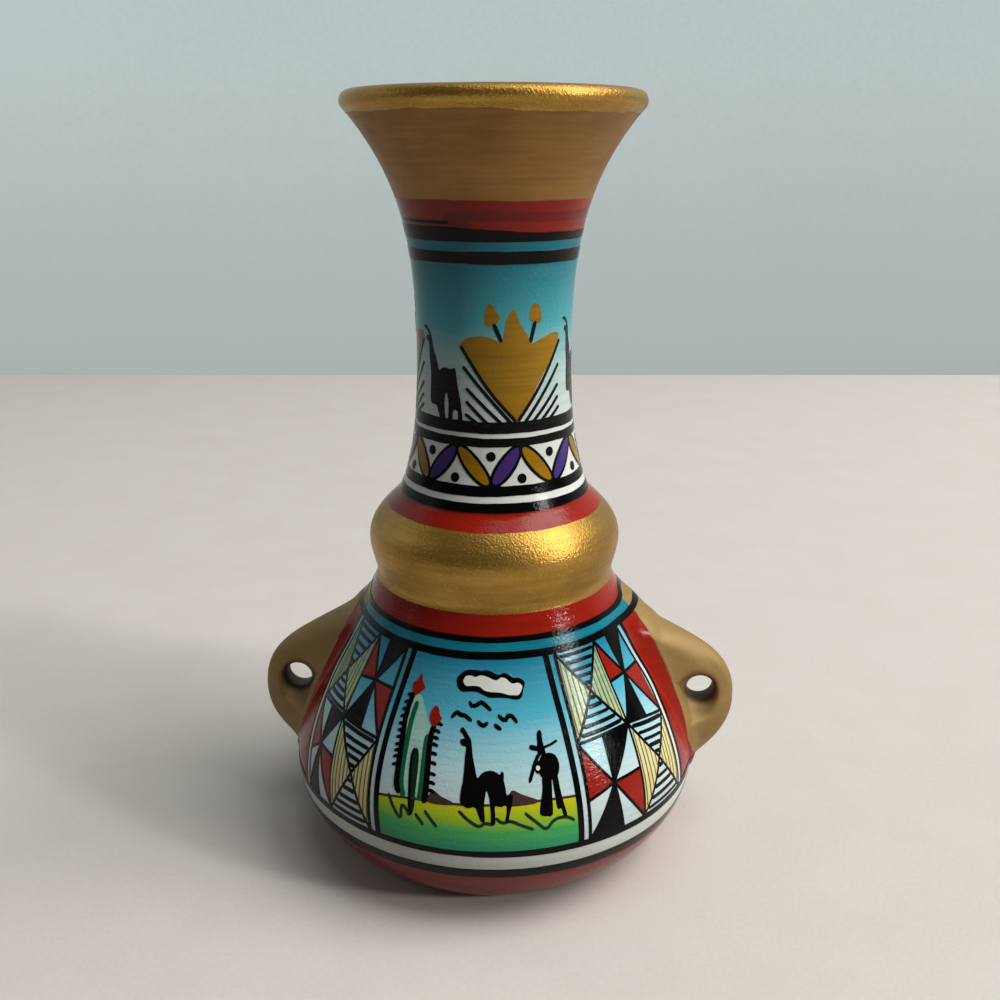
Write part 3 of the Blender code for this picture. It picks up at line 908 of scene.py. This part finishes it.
def side_pattern(middle, hand, side):
    """The four cells on one side of a picture."""
    dividers, middle_row, middles = PATTERNS[side]
    heights = (3 * (PATTERN_TOP,), middle_row, 3 * (PATTERN_FOOT,))
    divider = [(a, row[1]) for a, row in zip(dividers, heights)][::-1]

    def column_line(column, z):
        if column == 1:
            angle = along(divider, z)
        elif (column == 0) == (side < 0):
            angle = along(PANEL_SIDES[side], z) - side * degrees(PANEL_INSET / outside(z)[0])
        else:
            angle = along(PICTURE_SIDES[side], z) + side * degrees(PICTURE_INSET / outside(z)[0])
        return middle + hand * angle, z

    knots = [[column_line(column, z) for column, z in enumerate(row)] for row in heights]
    for row, column in ((0, 0), (0, 1), (1, 0), (1, 1)):
        corners = [*knots[row][column:column + 2], *knots[row + 1][column:column + 2][::-1]]
        halves = [between(a, b, luck.uniform(0.42, 0.5)) for a, b in zip(corners, corners[1:] + corners[:1])]
        halves[1], halves[3] = column_line(column + 1, halves[1][1]), column_line(column, halves[3][1])
        angle, z = middles[2 * row + column]
        (cross, pinwheel)[(row + column) % 2](corners, halves, (middle + hand * angle, z))
    hatch.stroke([row[1] for row in knots], 0.45)
    hatch.stroke(knots[1], 0.5)


for middle, hand in PICTURES:
    for side in SIDES:
        side_pattern(middle, hand, side)
keep(BELLY, ("pattern_red", pinwheel_red, RED), ("pattern_black", pinwheel_black, BLACK),
     ("pattern_cream", cream, CREAM), ("pattern_stripes", stripes, OLIVE), ("pattern_lines", hatch, BLACK))


# Pictures: cacti, a cloud with birds, a llama and a flute player in front of hills

HORIZON = [
    (-28.0, 23.8), (-19.1, 24.6), (-12.9, 24.9), (0.0, 25.0), (13.4, 25.3), (20.1, 25.3), (27.0, 25.1)]
HILLS = (
    [(-13.0, 24.7), (-12.0, 26.5), (-10.9, 26.4), (-9.5, 25.9), (-6.2, 25.2), (-6.4, 24.7)],
    [(7.6, 24.9), (8.2, 26.2), (9.4, 27.2), (10.5, 27.1), (12.0, 26.6), (16.3, 25.5), (15.8, 25.0)])
CLOUD = [
    (-8.7, 42.7), (-8.7, 43.5), (-7.4, 44.2), (-5.4, 44.8), (-2.2, 44.9), (-0.1, 44.8), (2.4, 44.9),
    (4.6, 44.5), (6.4, 44.2), (8.4, 44.5), (10.4, 44.1), (11.6, 43.7), (14.0, 43.6), (15.7, 42.9),
    (15.0, 41.8), (14.2, 40.7), (12.3, 40.4), (9.2, 40.7), (6.3, 40.8), (3.5, 40.8), (0.9, 41.2),
    (-1.2, 41.6), (-3.8, 41.6), (-6.2, 41.5), (-7.8, 41.9)]
CLOUD_MIDDLE = [
    (-6.4, 43.1), (-5.7, 43.8), (-3.7, 44.0), (-2.1, 43.8), (-0.3, 44.1), (2.2, 43.9), (4.3, 43.5),
    (5.8, 43.4), (7.3, 43.8), (9.1, 43.6), (10.2, 43.1), (11.4, 42.8), (13.3, 42.9), (14.7, 42.4),
    (14.2, 41.7), (13.2, 41.1), (11.2, 41.1), (9.5, 41.2), (7.5, 41.5), (5.2, 41.6), (2.6, 41.7),
    (0.8, 42.0), (-0.4, 42.4), (-2.5, 42.5), (-4.9, 42.4), (-6.0, 42.7)]
BIRDS = (
    [(-3.6, 40.2), (-2.7, 39.5), (-0.9, 39.7), (0.4, 40.1), (2.1, 39.6), (3.8, 38.9)],
    [(-9.1, 37.5), (-8.3, 38.0), (-7.4, 38.4), (-6.2, 38.1), (-4.6, 38.0), (-3.4, 37.6), (-2.4, 37.3)],
    [(-0.6, 37.4), (0.4, 36.9), (1.6, 36.7), (2.8, 37.2)],
    [(6.0, 38.3), (7.2, 37.7), (8.5, 37.5), (9.2, 38.1), (10.6, 38.0), (11.3, 37.6), (12.1, 37.0)],
    [(4.8, 36.9), (5.8, 36.5), (7.0, 36.1)])
LLAMA = [
    (-5.9, 35.8), (-5.2, 36.3), (-4.3, 36.0), (-3.3, 35.3), (-2.3, 34.6), (-1.9, 33.6), (-1.4, 32.1),
    (-0.7, 30.7), (0.1, 29.1), (1.1, 29.7), (2.5, 30.1), (4.1, 30.2), (5.5, 29.9), (6.3, 29.6), (6.8, 30.1),
    (7.4, 29.9), (7.4, 28.7), (7.8, 27.6), (8.1, 26.6), (9.2, 26.7), (9.7, 26.3), (9.4, 25.1), (8.7, 23.6),
    (8.4, 22.5), (7.6, 22.5), (7.9, 23.8), (7.9, 25.1), (6.7, 24.8), (5.0, 24.9), (5.0, 23.6), (5.0, 22.1),
    (4.0, 22.1), (3.9, 23.6), (3.7, 25.1), (3.3, 26.4), (2.7, 27.3), (2.4, 26.4), (2.1, 24.9), (2.3, 23.6),
    (2.3, 22.4), (1.4, 22.5), (0.6, 23.7), (-0.3, 24.7), (-2.0, 24.5), (-3.6, 24.9), (-4.2, 25.5),
    (-4.2, 27.0), (-3.8, 28.6), (-3.7, 30.6), (-3.7, 32.3), (-3.6, 33.5), (-4.7, 33.6), (-5.5, 34.1),
    (-5.2, 34.6), (-4.1, 34.7), (-5.0, 35.3)]
HAT = [
    (17.9, 35.2), (18.8, 35.7), (19.4, 35.3), (19.4, 34.2), (19.6, 33.2), (19.9, 32.3), (18.8, 31.9),
    (17.5, 32.4), (17.7, 33.8)]
PONCHO = [
    (20.8, 32.2), (22.8, 31.6), (23.4, 30.1), (22.3, 28.6), (19.7, 28.2), (17.7, 28.9), (17.2, 30.5),
    (18.5, 31.9)]
LEGS = (
    [(18.2, 29.0), (20.5, 29.0), (20.2, 25.7), (19.8, 22.9), (18.4, 22.8), (16.6, 23.2), (16.9, 24.9),
     (17.7, 26.9)],
    [(20.9, 29.0), (22.3, 29.0), (22.6, 27.0), (23.0, 24.9), (23.7, 22.4), (22.8, 22.3), (22.3, 23.7),
     (21.6, 23.6), (21.2, 23.9), (21.0, 25.6)])
BRIM, BRIM_TIP = [(15.2, 33.4), (16.3, 33.2), (18.0, 32.9)], [(18.6, 33.0), (21.5, 33.3), (24.0, 33.8)]
FLUTE = [(18.2, 32.4), (16.6, 31.2), (15.5, 29.8), (14.4, 28.2)]
ARM = [(17.6, 31.2), (16.4, 30.1), (17.2, 29.4)]
FIST = (17.1, 30.2)
GROUND_STROKES = (
    [(12.6, 23.7), (15.2, 22.2), (17.8, 20.8), (19.5, 21.7), (21.1, 22.2), (23.6, 22.1), (25.6, 21.3)],
    [(-4.5, 24.0), (-2.0, 22.7), (0.8, 21.7), (2.4, 22.2), (4.6, 22.0)],
    [(5.1, 23.1), (6.8, 22.3), (8.9, 22.5), (11.8, 21.7), (14.7, 20.9)],
    [(-24.4, 24.5), (-22.5, 22.8), (-20.7, 21.5), (-19.8, 21.3), (-19.9, 23.3), (-18.6, 22.9),
     (-17.4, 21.9)],
    [(-15.9, 22.5), (-13.4, 20.9)], [(-13.5, 23.3), (-9.8, 20.9)])
CACTUS = [
    (-21.1, 24.6), (-22.0, 26.4), (-22.8, 29.9), (-23.4, 32.9), (-23.8, 36.1), (-23.2, 39.6), (-21.2, 40.0),
    (-19.1, 38.6), (-16.8, 36.6), (-14.8, 35.4), (-14.6, 32.3), (-14.1, 29.4), (-13.8, 26.4), (-13.9, 25.0),
    (-15.0, 24.5), (-16.6, 24.6), (-19.1, 24.5)]
CACTUS_EDGES = (
    [(-21.2, 25.0), (-22.5, 26.3), (-23.2, 29.3), (-23.8, 32.3), (-24.6, 35.7), (-24.6, 38.3),
     (-23.9, 40.2)],
    [(-13.9, 24.4), (-13.8, 26.4), (-14.2, 29.4), (-14.7, 32.3), (-14.8, 34.8), (-14.2, 36.2)])
CACTUS_FLESH = (
    [(-19.8, 24.6), (-21.3, 26.6), (-21.9, 29.5), (-22.2, 32.5), (-22.4, 36.0), (-21.8, 39.0)],
    [(-15.2, 24.6), (-15.2, 26.4), (-15.5, 29.4), (-15.9, 32.3), (-16.0, 34.6)])
CACTUS_ARM = [
    (-17.0, 22.1), (-17.7, 23.3), (-18.4, 25.9), (-19.2, 28.8), (-19.6, 31.0), (-19.2, 32.2), (-18.1, 32.1),
    (-17.4, 31.0), (-16.9, 28.6), (-16.7, 26.1), (-16.4, 23.5)]
CACTUS_FLOWERS = (
    [(-24.7, 40.4), (-25.1, 41.5), (-23.9, 41.9), (-23.4, 42.5), (-22.4, 43.2), (-21.6, 42.2),
     (-20.1, 41.2), (-21.0, 40.7), (-22.0, 40.1), (-23.4, 39.9)],
    [(-16.4, 37.1), (-15.9, 38.3), (-15.0, 38.9), (-13.9, 38.7), (-12.9, 37.6), (-12.1, 37.2),
     (-13.0, 36.6), (-14.4, 35.8), (-15.4, 36.1)])
# For each edge of the cactus: the heights of its spines, and a spine from its root
SPINES = (
    ((39.7, 38.5, 37.4, 36.3, 35.2, 34.2, 33.2, 32.1, 31.2, 30.3, 29.1),
     ((0, 0), (-1.0, 0.05), (-2.1, -0.15))),
    ((36.3, 35.2, 34.2, 33.2, 31.9, 30.5, 28.9, 27.6, 26.4),
     ((0, 0), (1.3, 0.1), (2.6, -0.1))))

ground, hills = Coat(PANEL_LIFT + 0.015), Coat(COLOUR_LIFT)
mint, leaf, flowers = Coat(COLOUR_LIFT - 0.01), Coat(COLOUR_LIFT + 0.01), Coat(TOP_LIFT)
shadow, figures, whites = Coat(COLOUR_LIFT + 0.01), Coat(LINE_LIFT, 0.8), Coat(TOP_LIFT, 0.8)


def picture(middle, hand):
    """One picture round an angle; hand -1 turns it about."""
    def fill(coat, *shapes):
        for shape in shapes:
            coat.fill(placed(shape, middle, hand))

    def stroke(coat, width, *lines, **brush):
        for points in lines:
            coat.stroke(placed(points, middle, hand), width, **brush)

    skyline = [(z, angle) for angle, z in sorted(placed(HORIZON, middle, hand))]
    sheet_between(ground, PICTURE_SIDES, middle, hand, lambda angle: along(skyline, angle), *GROUND_GRID)
    stroke(hills, 0.4, HORIZON)
    fill(hills, *HILLS)
    fill(mint, CACTUS)
    stroke(leaf, 1.0, *CACTUS_FLESH, blunt=0.3)
    stroke(figures, 1.05, *CACTUS_EDGES, blunt=0.4)
    for edge, (heights, spine) in zip(CACTUS_EDGES, SPINES):
        for height in heights:
            stroke(figures, 0.55, placed(spine, along(edge, height), up=height))
    fill(shadow, CACTUS_ARM)
    stroke(figures, 0.5, CACTUS_ARM[:6], blunt=0.4)
    fill(flowers, *CACTUS_FLOWERS)
    fill(figures, CLOUD)
    fill(whites, CLOUD_MIDDLE)
    stroke(figures, 0.55, *BIRDS, blunt=0.6, swollen=0.25)
    fill(figures, LLAMA, HAT, PONCHO, *LEGS)
    stroke(figures, 0.8, BRIM)
    stroke(figures, 0.4, BRIM_TIP, blunt=0.4)
    stroke(figures, 0.6, FLUTE)
    stroke(figures, 0.5, ARM)
    whites.dot(middle + hand * FIST[0], FIST[1], 0.38)
    stroke(shadow, 0.55, *GROUND_STROKES, blunt=0.6)


for middle, hand in PICTURES:
    picture(middle, hand)
keep(BELLY, ("picture_ground", ground, GROUND), ("picture_hills", hills, BROWN),
     ("cactus_flesh", mint, MINT), ("cactus_green", leaf, LEAF), ("cactus_flowers", flowers, RED),
     ("picture_shadows", shadow, SHADOW), ("picture_figures", figures, BLACK),
     ("picture_whites", whites, WHITE))


# Coats on the collar and the neck

add_band("collar_gold", BRIGHT_GOLD, COLLAR, 53.5, 68.3, BASE_LIFT)
add_band("throat_gold", THROAT_GOLD, NECK, 122.5, 136.9, BASE_LIFT)

LIP_JOIN, LIP_INNER_END, LIP_EDGE, LIP_COAT, LIP_SINK = (136.6, 136.9), 130.0, 136.1, 0.05, 0.4
lip_run = [(outside(z)[0], z) for z in LIP_JOIN] + LIP + [p for p in neck_in if p[1] > LIP_INNER_END]
lip = Coat(COLOUR_LIFT)
lip.shape = turned(inside(lip_run, LIP_COAT) + inside(lip_run, LIP_SINK)[::-1], NECK_TURNS)
lip_edge = wobble(9, 0.26)
lip.band(lambda a: LIP_EDGE + lip_edge(a), LIP_JOIN[1], turns=2 * NECK_TURNS)
keep(NECK, ("lip_gold", lip, BRIGHT_GOLD))

neck_red = Coat(PANEL_LIFT)
for low, high, seed in ((67.9, 71.0, 5), (117.6, 122.7, 6)):
    edge = wobble(seed, 0.08)
    neck_red.band(lambda a: low + edge(a), lambda a: high + edge(a + 120), turns=NECK_TURNS)
streaks = Coat(COLOUR_LIFT, 0.8)
streaks.stroke([(-70.0, 118.8), (-40.0, 119.0), (-8.0, 118.8)], 1.3, blunt=0.05)
streaks.stroke([(-25.0, 120.1), (10.0, 120.3), (45.0, 120.1), (78.0, 120.3)], 1.5, blunt=0.05)
keep(NECK, ("neck_red", neck_red, RED), ("neck_streaks", streaks, DEEP_RED))

add_band("neck_teal", TEAL, NECK, 114.3, 116.5)
add_band("neck_sky", NECK_SKY, NECK, 85.4, 112.9, grain=0.9)
add_band("neck_white", WHITE, NECK, 71.8, 84.4, grain=0.9)

rings = Coat(LINE_LIFT, 0.8)
top_edge = wobble(11, 0.12)
rings.band(116.2, lambda a: 117.6 + 0.9 * max(0.0, cos(radians(a + 50))) + top_edge(a),
           turns=NECK_TURNS)
rings.stroke([(-66.0, 119.3), (-50.0, 119.25), (-34.0, 119.2), (-22.0, 119.25)], 0.45)
for low, high, seed, size in ((112.6, 114.6, 12, 0.07), (83.9, 86.0, 13, 0.08), (81.6, 83.15, 14, 0.08),
                              (73.2, 75.0, 15, 0.07), (70.5, 72.05, 16, 0.06)):
    line_round(rings, low, high, seed, size, turns=NECK_TURNS)
keep(NECK, ("neck_rings", rings, BLACK))

BLOSSOM = [
    (-39.5, 98.9), (-37.8, 99.8), (-31.8, 100.5), (-24.5, 100.7), (-17.5, 100.4), (-10.6, 99.6),
    (-9.0, 101.2), (-7.0, 103.6), (-2.4, 105.1), (0.1, 104.1), (3.3, 102.3), (8.0, 100.7), (10.9, 99.3),
    (18.9, 99.9), (28.4, 100.6), (35.8, 100.5), (36.1, 99.3), (31.2, 96.9), (23.1, 94.3), (14.1, 91.0),
    (5.8, 87.5), (0.0, 85.9), (-3.2, 87.0), (-10.3, 88.8), (-18.9, 91.4), (-27.5, 94.1), (-35.7, 96.9)]
BUDS = (
    [(-19.9, 106.0), (-17.4, 106.0), (-14.7, 105.0), (-11.9, 103.8), (-13.3, 103.0), (-18.9, 102.2),
     (-21.9, 102.6), (-22.2, 104.3)],
    [(12.8, 106.0), (16.1, 105.7), (18.7, 104.3), (18.4, 102.9), (15.1, 102.6), (10.1, 103.1), (9.2, 104.2),
     (10.5, 105.5)])
STALKS = ([(-16.1, 102.8), (-10.6, 99.7)], [(13.8, 103.0), (10.2, 99.4)])
RAYS = (
    [(-39.7, 98.9), (-20.0, 91.6), (-0.6, 85.9)], [(37.6, 99.3), (20.0, 92.4), (1.0, 86.0)],
    [(-38.1, 95.4), (-4.0, 85.7)], [(-35.8, 91.7), (-10.4, 85.6)], [(-35.7, 89.4), (-19.5, 85.4)],
    [(-36.3, 87.2), (-25.9, 85.4)], [(36.8, 95.1), (5.7, 85.6)], [(36.3, 91.6), (11.9, 85.6)],
    [(36.1, 89.4), (18.7, 85.6)], [(37.0, 87.6), (24.3, 85.3)])
NECK_LLAMA = [
    (-18.7, 101.5), (-14.8, 101.6), (-10.6, 100.5), (-8.9, 99.3), (-7.7, 97.9), (-5.1, 96.6), (-3.1, 95.2),
    (-1.8, 94.2), (1.0, 94.7), (4.8, 94.9), (8.4, 94.7), (11.8, 95.0), (13.1, 94.2), (13.8, 92.8),
    (15.5, 90.7), (17.1, 88.8), (18.4, 85.6), (15.2, 85.6), (14.7, 87.5), (11.1, 87.5), (10.3, 85.4),
    (7.2, 85.2), (7.2, 87.6), (6.7, 89.4), (4.8, 90.6), (3.5, 88.9), (4.0, 87.1), (5.1, 85.3), (1.2, 85.2),
    (-1.8, 86.9), (-4.0, 88.0), (-10.1, 88.4), (-10.9, 90.9), (-10.5, 93.5), (-11.9, 96.0), (-12.6, 98.7),
    (-15.7, 99.3), (-14.9, 100.0), (-11.8, 100.0), (-13.7, 100.7)]
ZIGZAG = (
    -62.0, -41.5, -20.8, 2.8, 22.7, 45.0, 68.0, 88.0, 111.3, 134.7, 158.0, 181.3, 204.7, 228.0, 251.3,
    274.7, 298.0)
ZIGZAG_LOW, ZIGZAG_HIGH, DOT_LOW, DOT_HIGH, DOT_RADIUS = 74.7, 81.9, 76.1, 80.0, 0.85
LEAF_EDGE, LEAF_FILL, LEAF_AT = (1.65, 0.02), (1.1, 0.7), 78.0

yellow, blush, ink = Coat(COLOUR_LIFT, 0.8), Coat(COLOUR_LIFT, 0.8), Coat(LINE_LIFT, 0.8)
purple, ochre = Coat(TOP_LIFT, 0.8), Coat(TOP_LIFT, 0.8)
for centre, petals in ((20.7, yellow), (146.0, yellow), (267.0, blush)):
    for shape in (BLOSSOM, *BUDS):
        petals.fill(placed(shape, centre))
    for stalk in STALKS:
        ink.stroke(placed(stalk, centre), 0.7)
    for ray in RAYS:
        ink.stroke(placed(ray, centre), 0.6, blunt=0.7)
for centre, lifted in ((-36.0, 0.0), (80.5, 1.4), (204.0, 0.4)):
    ink.fill(placed(NECK_LLAMA, centre, up=lifted))


def leaf_outline(start, end, half_width, trim):
    """A long oval between two places, trimmed at its ends."""
    scale = radians(outside(LEAF_AT)[0])
    a, b = (Vector((angle * scale, z)) for angle, z in (start, end))
    centre, way = (a + b) / 2, (b - a) / 2
    way -= way.normalized() * trim
    across = Vector((-way.y, way.x)).normalized() * half_width
    turns = [tau * i / 14 for i in range(14)]
    spots = [centre + way * cos(t) + across * sin(t) for t in turns]
    return [(p.x / scale, p.y) for p in spots]


for i, (a, b) in enumerate(zip(ZIGZAG, ZIGZAG[1:])):
    falls = i % 2 == 0
    first, second = (ZIGZAG_HIGH, ZIGZAG_LOW) if falls else (ZIGZAG_LOW, ZIGZAG_HIGH)
    ink.fill(leaf_outline((a, first), (b, second), *LEAF_EDGE))
    (ochre if falls else purple).fill(leaf_outline((a, first), (b, second), *LEAF_FILL))
    ink.dot(b, DOT_HIGH if falls else DOT_LOW, DOT_RADIUS)
keep(NECK, ("flower_yellow", yellow, YELLOW), ("flower_red", blush, RED),
     ("zigzag_purple", purple, PURPLE), ("zigzag_ochre", ochre, YELLOW), ("neck_drawing", ink, BLACK))


# Studio

CAMERA_PLACE, CAMERA_TURN, CAMERA_PITCH, CAMERA_LENS = (0.01631, -0.1893, 0.13015), 4.6, 18.357, 37.8
WALL_AWAY, STAGE = 0.446, 2
LAMP_AWAY, LAMP_AIM = 2, 0.06


def stage_piece(name, corners, material):
    """A plain sheet square to the camera."""
    mesh = bpy.data.meshes.new(name)
    mesh.from_pydata(corners, [], [(0, 1, 2, 3)])
    mesh.materials.append(material)
    sheet = new_object(name, mesh)
    sheet.rotation_euler = (0, 0, radians(CAMERA_TURN))
    sheet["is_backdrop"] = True


def stage_look(name, full, thin, fine, wide):
    """A plain pale sheet with a faint weave, and its colour."""
    look = Look(name)
    weave = look.plus(look.noise(fine, fine, detail=1.0), look.noise(wide, wide, detail=2.0))
    look.set("Roughness", 0.9)
    look.set("Specular IOR Level", 0.1)
    return look, look.mixed(look.span(weave, 0.75, 1.25), srgb(full), srgb(thin))


def seen(look):
    """1 for rays that show the stage itself, in view or mirrored, and 0 for the light that it sheds."""
    path = look.node("LightPath").outputs
    return look.plus(look.plus(path["Is Camera Ray"], path["Is Glossy Ray"]), path["Is Transmission Ray"])


cloth, pale = stage_look("floor_cloth", (208, 202, 196), (204, 197, 191), 1.1, 0.05)
cloth.set("Base Color", cloth.mixed(seen(cloth), srgb((128, 121, 114)), pale))

card, pale = stage_look("backdrop_card", (186, 197, 197), (182, 193, 193), 0.4, 0.008)
# Painted shade: the backdrop card darkens towards the floor; it also glows in its own colour for camera and
# mirrored rays
pale = card.mixed(card.height(0, 180), srgb((168, 178, 175)), pale)
card.set("Base Color", pale)
glow = card.node("Emission", Color=pale, Strength=1.0)
both = card.node("MixShader", seen(card), card.shader.outputs[0], glow.outputs[0])
card.feed(card.tree.nodes["Material Output"].inputs["Surface"], both.outputs[0])

far_edge = [(-STAGE, WALL_AWAY, 0), (STAGE, WALL_AWAY, 0)]
stage_piece("floor", [(-STAGE, -STAGE, 0), (STAGE, -STAGE, 0)] + far_edge[::-1], cloth.material)
stage_piece("backdrop", far_edge + [(STAGE, WALL_AWAY, STAGE), (-STAGE, WALL_AWAY, STAGE)], card.material)

world = bpy.data.worlds.new("studio")
scene.world = world
world.use_nodes = True
world.node_tree.nodes["Background"].inputs["Color"].default_value = srgb((205, 212, 214))
world.node_tree.nodes["Background"].inputs["Strength"].default_value = 0.12


def lamp(name, turn, rise, wide, tall, power, colour):
    """A soft lamp at a turn from the picture side and a rise over the table, in degrees."""
    data = bpy.data.lights.new(name, "AREA")
    data.shape = "RECTANGLE"
    data.size = wide
    data.size_y = tall
    data.energy = power
    data.color = srgb(colour)[:3]
    turn, rise = radians(turn), radians(rise)
    away = Vector((sin(turn) * cos(rise), -cos(turn) * cos(rise), sin(rise)))
    made = new_object(name, data)
    made.location = Vector((0, 0, LAMP_AIM)) + LAMP_AWAY * away
    made.rotation_euler = (-away).to_track_quat("-Z", "Y").to_euler()


lamp("window", 68, 21, 0.2, 0.17, 14, (255, 252, 246))
lamp("sky", 85, 50, 1.3, 1.3, 38, (255, 253, 250))
lamp("ceiling", 40, 80, 0.9, 0.9, 6, (250, 252, 255))
lamp("fill", -85, 25, 1.0, 1.0, 2.2, (244, 248, 255))

camera_data = bpy.data.cameras.new("camera")
camera_data.sensor_width = 36.0
camera_data.lens = CAMERA_LENS
camera_data.clip_start = 0.01
camera = new_object("camera", camera_data)
camera.location = CAMERA_PLACE
camera.rotation_euler = (radians(90 - CAMERA_PITCH), 0, radians(CAMERA_TURN))
scene.camera = camera
scene.view_settings.view_transform = "Standard"

low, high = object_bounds()
